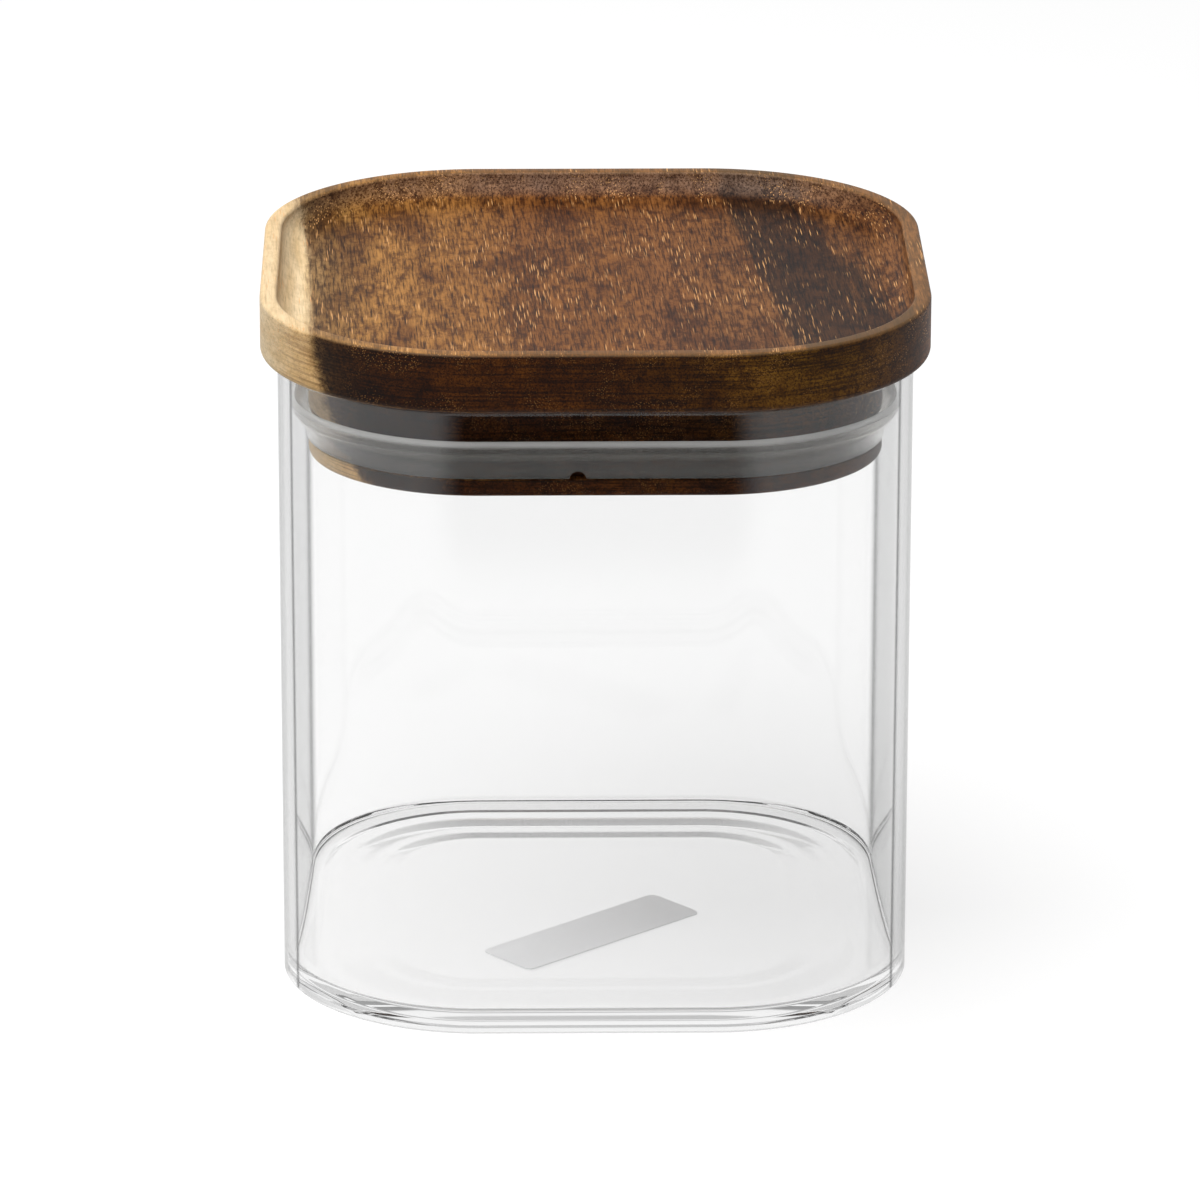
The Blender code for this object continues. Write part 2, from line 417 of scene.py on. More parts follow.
def cap_section():
    """From under the cap, over its rim, to the floor of the tray."""
    rim_edge = CAP_HALF - TRAY_RIM_WIDTH
    tray_floor = lid_high.z - TRAY_DEPTH
    upper_centre = lid_high.z - CAP_UPPER_ROUND
    cove_angle = math.acos(1 - (TRAY_DEPTH - CAP_UPPER_ROUND) / TRAY_COVE_RADIUS)
    cove_width = TRAY_COVE_RADIUS * math.sin(cove_angle)
    section = arc((CAP_HALF - CAP_LOWER_ROUND, CAP_BOTTOM + CAP_LOWER_ROUND), CAP_LOWER_ROUND, -90, 0, 10)
    section += arc((CAP_HALF - CAP_UPPER_ROUND, upper_centre), CAP_UPPER_ROUND, 0, 90, 8)
    section += arc((rim_edge + CAP_UPPER_ROUND, upper_centre), CAP_UPPER_ROUND, 90, 180, 8)[:-1]
    section += arc((rim_edge - cove_width, tray_floor + TRAY_COVE_RADIUS), TRAY_COVE_RADIUS,
                   math.degrees(cove_angle) - 90, -90, 14)
    return section


# %% [markdown]
# ## Acacia
#
# Wood is a solid pattern: the growth rings are cylinders round the tree's pith, and the
# plank shows whatever its faces cut through. The same rings make the straight bands on
# top and the curved bands on the end grain of the front. The grain of this lid runs from
# front to back, and the pith lay above the lid, to the right. So the pattern is drawn in
# the block's own millimetres, not on its surface, and every side agrees with the next.

# %% Where the lid was cut from the tree
GRAIN_TURN = math.radians(-2.2)
GRAIN_DIP = math.radians(-0.8)
PITH_ACROSS = 32.0
PITH_ABOVE_TOP = 14.0


def grain_space(tree, place):
    """The block in millimetres from the pith, turned so that Y runs along the grain."""
    return node(tree, "ShaderNodeMapping", {
        "Vector": place, "Location": (-PITH_ACROSS, 0.0, -(lid_high.z / MM + PITH_ABOVE_TOP)),
        "Rotation": (GRAIN_DIP, 0.0, GRAIN_TURN), "Scale": (1 / MM, 1 / MM, 1 / MM)}, vector_type="POINT")


# %% [markdown]
# ### Natural unevenness
#
# No line in wood is quite straight and no patch quite even. Each row of this table is
# one kind of unevenness: how wide and how long its patches are in real millimetres,
# across and along the grain, how deep they go, and how much fine detail they hold. A
# noise texture has features one unit in size, so its space is divided by those sizes.
# The fibres of acacia are finer than the render can show, so they are drawn 0.35 mm wide.

# %% Patterns by their size in millimetres
NOISE_MIDDLE = 0.5
PATTERNS = {
    # name: (across, along, deep, detail, roughness)
    "bend": (22.0, 80.0, 22.0, 1.0, 0.5),
    "fray": (1.6, 24.0, 1.6, 3.0, 0.5),
    "blotch": (8.0, 20.0, 8.0, 5.0, 0.65),
    "core_fibres": (1.3, 22.0, 1.3, 4.0, 0.6),
    "ripple": (2.0, 30.0, 2.0, 3.0, 0.5),
    "fibre": (0.35, 6.0, 0.35, 4.0, 0.7),
    "figure": (2.0, 3.2, 2.0, 4.0, 0.7),
    "sanding": (14.0, 14.0, 0.35, 3.0, 0.5),
    "pore_crowd": (5.0, 12.0, 5.0, 4.0, 0.5)}


def wood_patterns(tree, space):
    """Every pattern of the table as a soft random value about 0.5."""
    made = {}
    for name, (across, along, deep, detail, roughness) in PATTERNS.items():
        scaled = node(tree, VECTOR_MATH, {0: space, 1: (1 / across, 1 / along, 1 / deep)},
                      operation="MULTIPLY")
        made[name] = node(tree, NOISE, {
            "Vector": scaled, "Scale": 1.0, "Detail": detail, "Roughness": roughness})
    return made


# %% [markdown]
# ### Growth rings
#
# The distance from the pith sorts the wood: brown heartwood with paler and darker years,
# a dark border and, past it, the pale sapwood that was just under the bark. Slow noise
# bends the cylinders, because no trunk is a true cylinder, and finer noise frays their
# edges along the grain.

# %% Ring radius in millimetres
BEND = 5.0
FRAY = 2.4


def ring_radius(tree, space, patterns):
    """Distance from the pith in mm, bent and frayed by noise."""
    flat = node(tree, VECTOR_MATH, {0: space, 1: (1.0, 0.0, 1.0)}, operation="MULTIPLY")
    radius = node(tree, VECTOR_MATH, {0: flat}, operation="LENGTH")
    for name, size in (("bend", BEND), ("fray", FRAY)):
        offset = node(tree, MATH, {0: patterns[name], 1: NOISE_MIDDLE}, operation="SUBTRACT")
        radius = node(tree, MATH, {0: offset, 1: size, 2: radius}, operation="MULTIPLY_ADD")
    return radius


# %% [markdown]
# Two palettes give the rings their colours, one for faces cut along the grain and one
# for end grain, which soaks up more oil and is darker; the end-grain palette also holds
# painted shade for the lid's front and back. Each entry is a distance from the pith in
# millimetres and the colour there. Softer years wander inside the rings.

# %% Heartwood by distance from the pith
YEAR_WIDTH = 1.5
YEAR_SHIFT = 8.0
PALETTE_FROM = 14.0
PALETTE_TO = 78.0
ALONG_GRAIN = (
    (18.0, "#82552C"), (23.0, "#7E5027"), (28.0, "#805026"), (34.0, "#825123"), (45.0, "#7E4E22"),
    (56.0, "#9C6A33"), (67.0, "#A8773C"), (73.5, "#866133"), (77.0, "#9A7A4E"))
# End grain: darker from oil, and darker still by painted shade on the lid's front and back.
ACROSS_GRAIN_WITH_PAINTED_SHADE = (
    (15.0, "#6A4914"), (19.0, "#79531B"), (26.0, "#603C0F"), (34.0, "#532F0C"),
    (48.0, "#5E340C"), (60.0, "#4F2A0A"), (69.0, "#371B06"), (77.0, "#271304"))


def heart_colour(tree, radius, palette):
    """Ring colours by distance from the pith, with softer years inside them."""
    year = node(tree, MATH, {0: radius, 1: YEAR_WIDTH}, operation="DIVIDE")
    years = node(tree, NOISE, {
        "Vector": node(tree, "ShaderNodeCombineXYZ", {"X": year}), "Scale": 1.0, "Detail": 3.0,
        "Roughness": 0.6})
    offset = node(tree, MATH, {0: years, 1: NOISE_MIDDLE}, operation="SUBTRACT")
    moved = node(tree, MATH, {0: offset, 1: YEAR_SHIFT, 2: radius}, operation="MULTIPLY_ADD")
    share = node(tree, MAP_RANGE, {"Value": moved, "From Min": PALETTE_FROM, "From Max": PALETTE_TO})
    colours = node(tree, "ShaderNodeValToRGB", {"Fac": share})
    stops = colours.color_ramp.elements
    while len(stops) < len(palette):
        stops.new(0.5)
    for stop, (place, hex_colour) in zip(stops, palette):
        stop.position = (place - PALETTE_FROM) / (PALETTE_TO - PALETTE_FROM)
        stop.color = linear(hex_colour)
    return colours


# %% [markdown]
# ### The core streak
#
# Beside the pith runs a nearly black stain, the start of the heartwood. Its left edge is
# clean and its right edge frays out in fibres. It crosses the tray a little askew, each
# edge by its own drift in millimetres to a millimetre along the grain.

# %% Dark streak beside the pith
CORE_LEFT = -6.5
CORE_RIGHT = 7.5
CORE_LEFT_DRIFT = 0.065
CORE_RIGHT_DRIFT = 0.17
CORE_LEFT_BLUR = 1.2
CORE_RIGHT_INSIDE = 4.0
CORE_RIGHT_OUTSIDE = 8.0
CORE_FRAY = 2.2
STAIN_FROM = 0.15
STAIN_FULL = 0.85
STAIN_REACH = 0.2


def core_streak(tree, space, patterns):
    """1 in the stain, 0 outside it."""
    place = node(tree, XYZ, {"Vector": space})
    left = node(tree, MATH, {0: place.outputs["Y"], 1: CORE_LEFT_DRIFT, 2: place.outputs["X"]},
                operation="MULTIPLY_ADD")
    right = node(tree, MATH, {0: place.outputs["Y"], 1: CORE_RIGHT_DRIFT, 2: place.outputs["X"]},
                 operation="MULTIPLY_ADD")
    past_left = node(tree, MAP_RANGE, {
        "Value": left, "From Min": CORE_LEFT - CORE_LEFT_BLUR, "From Max": CORE_LEFT + CORE_LEFT_BLUR},
        interpolation_type=SMOOTH)
    before_right = node(tree, MAP_RANGE, {
        "Value": right, "From Min": CORE_RIGHT + CORE_RIGHT_OUTSIDE,
        "From Max": CORE_RIGHT - CORE_RIGHT_INSIDE}, interpolation_type=SMOOTH)
    band = node(tree, MATH, {0: past_left, 1: before_right}, operation="MULTIPLY")
    offset = node(tree, MATH, {0: patterns["core_fibres"], 1: NOISE_MIDDLE}, operation="SUBTRACT")
    frayed = node(tree, MATH, {0: offset, 1: CORE_FRAY, 2: band}, operation="MULTIPLY_ADD")
    stain = node(tree, MAP_RANGE, {"Value": frayed, "From Min": STAIN_FROM, "From Max": STAIN_FULL},
                 interpolation_type=SMOOTH)
    near = node(tree, MAP_RANGE, {"Value": band, "From Min": 0.0, "From Max": STAIN_REACH},
                interpolation_type=SMOOTH)
    return node(tree, MATH, {0: stain, 1: near}, operation="MULTIPLY")


# %% [markdown]
# ### End grain and cove
#
# The front and back of the lid cut the fibres across. A face's direction tells where:
# its Y part is large there. The cove of the tray cuts the fibres at a slant as well, but
# it faces inward, towards the lid's middle, so the two can be told apart and the cove
# can get a paler, greyer painted sheen than the outside.

# %% Which way a face cuts the wood
END_GRAIN_FROM = 0.25
END_GRAIN_TO = 0.9
OUTWARD_FULL = 0.02


def cut_faces(tree, coordinates):
    """Two masks: end grain on the outside of the lid, and end grain in the cove."""
    facing = node(tree, XYZ, {"Vector": coordinates.outputs["Normal"]})
    slant = node(tree, MATH, {0: facing.outputs["Y"]}, operation="ABSOLUTE")
    cut = node(tree, MAP_RANGE, {"Value": slant, "From Min": END_GRAIN_FROM, "From Max": END_GRAIN_TO},
               interpolation_type=SMOOTH)
    from_middle = node(tree, VECTOR_MATH, {0: coordinates.outputs["Object"], 1: (1.0, 1.0, 0.0)},
                       operation="MULTIPLY")
    outward = node(tree, VECTOR_MATH, {0: coordinates.outputs["Normal"], 1: from_middle},
                   operation="DOT_PRODUCT")
    is_outside = node(tree, MAP_RANGE, {"Value": outward, "From Min": 0.0, "From Max": OUTWARD_FULL},
                      interpolation_type=SMOOTH)
    is_inside = node(tree, MATH, {0: 1.0, 1: is_outside}, operation="SUBTRACT")
    end_grain = node(tree, MATH, {0: cut, 1: is_outside}, operation="MULTIPLY")
    cove = node(tree, MATH, {0: cut, 1: is_inside}, operation="MULTIPLY")
    return end_grain, cove


# %% [markdown]
# Heartwood is put together first: rings, a slow blotchiness where the oil took unevenly,
# the core streak on faces along the grain, and a paler, greyer painted sheen on the cove.

# %% Heartwood
BLOTCH_FROM = 0.42
BLOTCH_FULL = 0.66
BLOTCH_SHADE = "#BBAC9C"
CORE_COLOUR = "#321A0A"
CORE_STRENGTH = 0.88
COVE_PAINTED_SHEEN = "#947A68"
COVE_SHEEN_STRENGTH = 0.5


def heartwood(tree, space, radius, patterns, end_grain, cove):
    """The brown wood of the rings, with its streak."""
    # Faces across the grain take the palette that holds the painted shade of the front and back.
    heart = node(tree, MIX, {
        SHARE: end_grain, FIRST: heart_colour(tree, radius, ALONG_GRAIN),
        SECOND: heart_colour(tree, radius, ACROSS_GRAIN_WITH_PAINTED_SHADE)}, data_type="RGBA")
    blotch = node(tree, MAP_RANGE, {
        "Value": patterns["blotch"], "From Min": BLOTCH_FROM, "From Max": BLOTCH_FULL},
        interpolation_type=SMOOTH)
    heart = node(tree, MIX, {SHARE: blotch, FIRST: heart, SECOND: linear(BLOTCH_SHADE)},
                 data_type="RGBA", blend_type="MULTIPLY")
    on_sides = node(tree, MATH, {0: end_grain, 1: -CORE_STRENGTH, 2: CORE_STRENGTH},
                    operation="MULTIPLY_ADD")
    core = node(tree, MATH, {0: core_streak(tree, space, patterns), 1: on_sides}, operation="MULTIPLY")
    heart = node(tree, MIX, {SHARE: core, FIRST: heart, SECOND: linear(CORE_COLOUR)}, data_type="RGBA")
    # A paler, greyer painted sheen on the cove.
    pale = node(tree, MATH, {0: cove, 1: COVE_SHEEN_STRENGTH}, operation="MULTIPLY")
    return node(tree, MIX, {SHARE: pale, FIRST: heart, SECOND: linear(COVE_PAINTED_SHEEN)}, data_type="RGBA")


# %% [markdown]
# Sapwood is cream with fine ripples, and honey-coloured on its end grain.

# %% Sapwood
SAP_DARK = "#C9A56C"
SAP_PALE = "#F0DDBA"
SAP_END_GRAIN = "#D6A660"
SAP_END_STRENGTH = 0.9


def sapwood(tree, patterns, end_grain):
    """The pale wood that was under the bark."""
    sap = node(tree, MIX, {SHARE: patterns["ripple"], FIRST: linear(SAP_DARK), SECOND: linear(SAP_PALE)},
               data_type="RGBA")
    oiled = node(tree, MATH, {0: end_grain, 1: SAP_END_STRENGTH}, operation="MULTIPLY")
    return node(tree, MIX, {SHARE: oiled, FIRST: sap, SECOND: linear(SAP_END_GRAIN)}, data_type="RGBA")


# %% [markdown]
# Three patterns then darken the wood: its fibres, the figure of crossing fibres that
# gives acacia its shimmer, and the sanding marks on end grain. The first two are faint
# in sapwood. Each row says which pattern, where it begins and is full, and its shade.

# %% Fibres, figure and sanding
SAP_CALM = 0.75
FIBRE_SHADES = (("fibre", 0.60, 0.36, "#94877B"), ("figure", 0.44, 0.66, "#B4A698"))
SANDING_SHADE = ("sanding", 0.45, 0.62, "#A89C98")


def shade_by_patterns(tree, wood, patterns, mottle, end_grain):
    """The wood darkened by its finer patterns."""
    rows = [(*row, mottle) for row in FIBRE_SHADES] + [(*SANDING_SHADE, end_grain)]
    for name, start, full, shade, where in rows:
        amount = node(tree, MAP_RANGE, {"Value": patterns[name], "From Min": start, "From Max": full},
                      interpolation_type=SMOOTH)
        amount = node(tree, MATH, {0: amount, 1: where}, operation="MULTIPLY")
        wood = node(tree, MIX, {SHARE: amount, FIRST: wood, SECOND: linear(shade)},
                    data_type="RGBA", blend_type="MULTIPLY")
    return wood


# %% [markdown]
# ### Pores
#
# Acacia's pores are open tubes about 0.2 mm wide. Cut along, they show as short dashes,
# 3 to 6 mm long, dark where they are open and golden where sanding dust and oil fill
# them; cut across, on the front and back, as a fine speckle. One cell pattern, stretched
# along the grain, gives both, and the cove, which cuts them at a slant, gets its
# speckled look by itself. The cells are drawn 0.3 mm wide, so that the render shows them.

# %% Pores by their size in millimetres
DARK_PORE_SHADE = "#86766C"
GOLD_ALONG = "#D6A066"
GOLD_ACROSS = "#8A6234"
GOLD_STRENGTH = 0.85
CROWD_FROM = 0.44
CROWD_FULL = 0.64
# name: (width, length, full within, gone past), the last two in cell widths
PORES = {"dark": (0.36, 8.0, 0.14, 0.36), "gold": (0.30, 7.5, 0.14, 0.34)}


def pore_masks(tree, space):
    """For each kind of pore, 1 inside it and 0 in the wood between."""
    masks = {}
    for name, (width, length, core, edge) in PORES.items():
        scaled = node(tree, VECTOR_MATH, {0: space, 1: (1 / width, 1 / length, 1 / width)},
                      operation="MULTIPLY")
        cells = node(tree, "ShaderNodeTexVoronoi", {"Vector": scaled, "Scale": 1.0})
        masks[name] = node(tree, MAP_RANGE, {"Value": cells, "From Min": edge, "From Max": core},
                           interpolation_type=SMOOTH)
    return masks["dark"], masks["gold"]


# %% [markdown]
# The material puts it all together. Oil leaves acacia satin, not glossy: it is rough and
# mirrors little. The pores are also a faint relief, and the top edge is a little paler:
# a painted highlight along it.

# %% Oiled acacia
SAP_FROM = 75.8
SAP_TO = 78.0
RIM_PAINTED_HIGHLIGHT = "#C49C6C"
RIM_HIGHLIGHT_STRENGTH = 0.15
RIM_FROM = 0.5 * MM
RIM_FULL = 0.1 * MM
RELIEF = 0.05 * MM
RELIEF_STRENGTH = 0.35
OILED_ROUGHNESS = 0.5
OILED_SPECULAR = 0.1


def oiled_acacia():
    """Solid acacia, sanded and oiled: satin, with open pores."""
    material, tree, output = new_material("oiled_acacia")
    coordinates = node(tree, COORDINATES)
    space = grain_space(tree, coordinates.outputs["Object"])
    patterns = wood_patterns(tree, space)
    radius = ring_radius(tree, space, patterns)
    end_grain, cove = cut_faces(tree, coordinates)

    heart = heartwood(tree, space, radius, patterns, end_grain, cove)
    is_sap = node(tree, MAP_RANGE, {"Value": radius, "From Min": SAP_FROM, "From Max": SAP_TO},
                  interpolation_type=SMOOTH)
    wood = node(tree, MIX, {SHARE: is_sap, FIRST: heart, SECOND: sapwood(tree, patterns, end_grain)},
                data_type="RGBA")
    mottle = node(tree, MATH, {0: is_sap, 1: -SAP_CALM, 2: 1.0}, operation="MULTIPLY_ADD")
    wood = shade_by_patterns(tree, wood, patterns, mottle, end_grain)

    dark_pore, gold_pore = pore_masks(tree, space)
    open_pore = node(tree, MATH, {0: dark_pore, 1: mottle}, operation="MULTIPLY")
    wood = node(tree, MIX, {SHARE: open_pore, FIRST: wood, SECOND: linear(DARK_PORE_SHADE)},
                data_type="RGBA", blend_type="MULTIPLY")
    crowd = node(tree, MAP_RANGE, {
        "Value": patterns["pore_crowd"], "From Min": CROWD_FROM, "From Max": CROWD_FULL},
        interpolation_type=SMOOTH)
    filled_pore = node(tree, MATH, {0: gold_pore, 1: crowd}, operation="MULTIPLY")
    gold = node(tree, MIX, {SHARE: end_grain, FIRST: linear(GOLD_ALONG), SECOND: linear(GOLD_ACROSS)},
                data_type="RGBA")
    glint = node(tree, MATH, {0: filled_pore, 1: GOLD_STRENGTH}, operation="MULTIPLY")
    wood = node(tree, MIX, {SHARE: glint, FIRST: wood, SECOND: gold}, data_type="RGBA")
    # A painted highlight along the lid's top edge.
    high = node(tree, XYZ, {"Vector": coordinates.outputs["Object"]}).outputs["Z"]
    rim = node(tree, MAP_RANGE, {
        "Value": high, "From Min": lid_high.z - RIM_FROM, "From Max": lid_high.z - RIM_FULL},
        interpolation_type=SMOOTH)
    painted_highlight = node(tree, MATH, {0: rim, 1: RIM_HIGHLIGHT_STRENGTH}, operation="MULTIPLY")
    wood = node(tree, MIX, {SHARE: painted_highlight, FIRST: wood, SECOND: linear(RIM_PAINTED_HIGHLIGHT)}, data_type="RGBA")

    height = node(tree, MATH, {0: filled_pore, 1: -1.0, 2: patterns["fibre"]}, operation="MULTIPLY_ADD")
    relief = node(tree, "ShaderNodeBump", {
        "Strength": RELIEF_STRENGTH, "Distance": RELIEF, "Height": height})
    surface = node(tree, PRINCIPLED, {
        "Base Color": wood, "Roughness": OILED_ROUGHNESS, "Specular IOR Level": OILED_SPECULAR,
        "Normal": relief})
    tree.links.new(surface.outputs["BSDF"], output.inputs["Surface"])
    print("oiled_acacia has", len(tree.nodes), "nodes")
    return material


# %% Lid
lid_outlines = [jar_outline(half, height) for half, height in plug_section() + cap_section()]
acacia_lid = skin("acacia_lid", lid_outlines, oiled_acacia())
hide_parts("wooden_lid")
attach(acacia_lid, "lid")

# %% [markdown]
# ## The silicone seal
#
# The seal is moulded in translucent silicone: a foot that sits in the plug's groove and
# a thin lip that flares up against the glass. Silicone's IOR is about 1.41. It lets
# light through almost clear. The lip's tip is painted whiter and less clear, a painted
# highlight for the bright line where light gathers in the thin edge.

# %% Translucent silicone
SILICONE_IOR = 1.41
SILICONE_ROUGHNESS = 0.15
SILICONE_BODY = "#D8D6D0"
SILICONE_PAINTED_TIP_HIGHLIGHT = "#F2F3F2"
TIP_FROM = 1.1 * MM
TIP_FULL = 0.4 * MM
BODY_CLARITY = 0.97
TIP_HIGHLIGHT_CLARITY_LOSS = 0.5


def clear_silicone(tip_height):
    """Milky silicone: light passes through it blurred, and its thin lip gets a painted highlight."""
    material, tree, output = new_material("clear_silicone")
    height = node(tree, XYZ, {"Vector": node(tree, COORDINATES).outputs["Object"]}).outputs["Z"]
    # The lip's tip gets a painted highlight: whiter and less clear.
    tip = node(tree, MAP_RANGE, {
        "Value": height, "From Min": tip_height - TIP_FROM, "From Max": tip_height - TIP_FULL},
        interpolation_type=SMOOTH)
    colour = node(tree, MIX, {SHARE: tip, FIRST: linear(SILICONE_BODY), SECOND: linear(SILICONE_PAINTED_TIP_HIGHLIGHT)},
                  data_type="RGBA")
    clarity = node(tree, MATH, {0: tip, 1: -TIP_HIGHLIGHT_CLARITY_LOSS, 2: BODY_CLARITY}, operation="MULTIPLY_ADD")
    surface = node(tree, PRINCIPLED, {
        "Base Color": colour, "Roughness": SILICONE_ROUGHNESS, "IOR": SILICONE_IOR,
        "Transmission Weight": clarity})
    tree.links.new(surface.outputs["BSDF"], output.inputs["Surface"])
    return material


# %% [markdown]
# The seal's section is a ring: the foot's back, the lip's outer face up to its tip, the
# inner face down again and the foot's top. A squared sine starts the lip straight up
# from the foot and lets it reach the glass upright.

# %% Seal section
SEAL_GAP = 0.3 * MM
SEAL_TIP = 0.6 * MM
SEAL_ROOT = 1.2 * MM
LIP_STEPS = 14

seal_low, seal_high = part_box("silicone_seal")


def seal_section():
    """A foot in the groove, and a lip curving out and up to the glass."""
    foot_back = PLUG_HALF - GROOVE_DEPTH + SEAL_GAP
    foot_top = GROOVE_TOP - SEAL_GAP
    lip_root = PLUG_HALF + SEAL_GAP
    lip_end = seal_high.x
    outer = []
    inner = []
    for step in range(LIP_STEPS + 1):
        along = step / LIP_STEPS
        flare = math.sin(math.radians(90) * along) ** 2
        outer.append((lip_root + (lip_end - lip_root) * flare,
                      seal_low.z + (seal_high.z - SEAL_TIP - seal_low.z) * along))
    for step in range(LIP_STEPS):
        along = step / LIP_STEPS
        flare = math.cos(math.radians(90) * along) ** 2
        inner.append((lip_root + (lip_end - SEAL_TIP - lip_root) * flare,
                      seal_high.z + (foot_top - SEAL_ROOT - seal_high.z) * along))
    section = [(foot_back, seal_low.z)] + outer + inner
    section += [(lip_root, foot_top - SEAL_ROOT), (lip_root - SEAL_GAP, foot_top), (foot_back, foot_top)]
    return section


seal = skin("seal", [jar_outline(half, height) for half, height in seal_section()],
            clear_silicone(seal_high.z), is_ring=True, sharp_angle=50)

# %% [markdown]
# A small half-round notch in the lower edge lets air past while the lid goes in. It is
# cut with a short bar, as a cutter would, and the bar is taken away again.

# %% Notch
NOTCH_RADIUS = 1.2 * MM
NOTCH_PLACE = -3.0 * MM
NOTCH_BAR_LENGTH = 8 * MM
NOTCH_BAR_SIDES = 32

notch_builder = bmesh.new()
bmesh.ops.create_cone(notch_builder, cap_ends=True, segments=NOTCH_BAR_SIDES, radius1=NOTCH_RADIUS,
                      radius2=NOTCH_RADIUS, depth=NOTCH_BAR_LENGTH,
                      matrix=Matrix.Translation((NOTCH_PLACE, -PLUG_HALF, seal_low.z))
                      @ Matrix.Rotation(math.radians(90), 4, "X"))
notch_mesh = bpy.data.meshes.new("notch_cutter")
notch_builder.to_mesh(notch_mesh)
notch_builder.free()
notch_cutter = bpy.data.objects.new("notch_cutter", notch_mesh)
bpy.context.collection.objects.link(notch_cutter)
cut = seal.modifiers.new("notch", "BOOLEAN")
cut.object = notch_cutter
cut.operation = "DIFFERENCE"
cut.solver = "EXACT"
with bpy.context.temp_override(object=seal, active_object=seal):
    bpy.ops.object.modifier_apply(modifier="notch")
bpy.data.objects.remove(notch_cutter)
print("seal with its notch:", len(seal.data.vertices), "points")
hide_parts("silicone_seal")
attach(seal, "lid")

# %% [markdown]
# ## The sticker
#
# A plain grey paper sticker, blank, stuck up in the hollow of the base a little askew.
# Coated label paper is matt, with a faint mottle about 2 mm in size. Two rounded
# rectangles, one above the other, are skinned like every other piece, and then turned.

# %% Label paper
PAPER_DARK = "#F1F2F4"
PAPER_PALE = "#F8F9FA"
PAPER_ROUGHNESS = 0.6
MOTTLE_SIZE = 2 * MM


def matt_paper():
    """Coated label paper: pale grey, with a faint mottle."""
    material, tree, output = new_material("matt_label_paper")
    scaled = node(tree, VECTOR_MATH, {
        0: node(tree, COORDINATES).outputs["Object"], 1: (1 / MOTTLE_SIZE,) * 3}, operation="MULTIPLY")
    mottle = node(tree, NOISE, {"Vector": scaled, "Scale": 1.0, "Detail": 2.0, "Roughness": 0.5})
    colour = node(tree, MIX, {SHARE: mottle, FIRST: linear(PAPER_DARK), SECOND: linear(PAPER_PALE)},
                  data_type="RGBA")
    surface = node(tree, PRINCIPLED, {"Base Color": colour, "Roughness": PAPER_ROUGHNESS})
    tree.links.new(surface.outputs["BSDF"], output.inputs["Surface"])
    return material


# %% Label
LABEL_LENGTH = 35.7 * MM
LABEL_WIDTH = 10.9 * MM
LABEL_RADIUS = 1.2 * MM
LABEL_PLACE = (-0.3 * MM, -10.0 * MM)
LABEL_TURN = math.radians(41.7)

label_low, label_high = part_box("base_label")
label_outlines = [rounded_outline(LABEL_LENGTH / 2, LABEL_WIDTH / 2, LABEL_RADIUS, height)
                  for height in (label_low.z, label_high.z)]
label = skin("label", label_outlines, matt_paper())
label.matrix_world = Matrix.Translation((*LABEL_PLACE, 0)) @ Matrix.Rotation(LABEL_TURN, 4, "Z")
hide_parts("base_label")
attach(label, "jar")

# %% [markdown]
# ## The floor
#
# Glass shows only what is round it, so the floor is part of the glass's looks. It is a
# white photo table: part of its light comes from the lamps, which gives the jar's
# shadow, and part is its own, which keeps that shadow pale. It lies 0.2 mm under the
# foot, because glass laid on a floor in the very same plane stops mirroring there.
#
# A photographer's room is dark in front of the object. A dark card with soft edges
# stands for it: it lies in front of the jar, and only reflections in the glass see it.
# It keeps the floor's reflection off the dark plug. Light that has bounced inside one
# wall sees the whole floor dimmed, for the same reason.

# %% Measures of the floor
FLOOR_SIZE = 6.0
FLOOR_DROP = 0.2 * MM
FLOOR_ALBEDO = 0.33
FLOOR_GLOW = 0.74
CARD_NEAR = 0.260
CARD_FAR = 0.390
CARD_BLUR = 0.030
CARD_SIDE_START = 0.06
CARD_SIDE_END = 0.19
BOUNCE_DIMMING = 0.38
ONE_WALL = 2.5

# %% [markdown]
# Light Path tells a shader what the light has been through. A reflection ray is both
# glossy and reflected. Glossy Depth counts mirrorings, and Transmission Depth the faces
# that the light has crossed, so two crossings and a mirroring mean one glass wall.

# %% How reflections see the floor
def dark_card(tree):
    """1 on the card in front of the jar, 0 beside it."""
    place = node(tree, XYZ, {"Vector": node(tree, COORDINATES).outputs["Object"]})
    aside = node(tree, MATH, {0: place.outputs["X"]}, operation="ABSOLUTE")
    past_near = node(tree, MAP_RANGE, {
        "Value": place.outputs["Y"], "From Min": -CARD_NEAR + CARD_BLUR,
        "From Max": -CARD_NEAR - CARD_BLUR}, interpolation_type=SMOOTH)
    before_far = node(tree, MAP_RANGE, {
        "Value": place.outputs["Y"], "From Min": -CARD_FAR - CARD_BLUR,
        "From Max": -CARD_FAR + CARD_BLUR}, interpolation_type=SMOOTH)
    between = node(tree, MATH, {0: past_near, 1: before_far}, operation="MULTIPLY")
    inside = node(tree, MAP_RANGE, {"Value": aside, "From Min": CARD_SIDE_END, "From Max": CARD_SIDE_START},
                  interpolation_type=SMOOTH)
    return node(tree, MATH, {0: between, 1: inside}, operation="MULTIPLY")


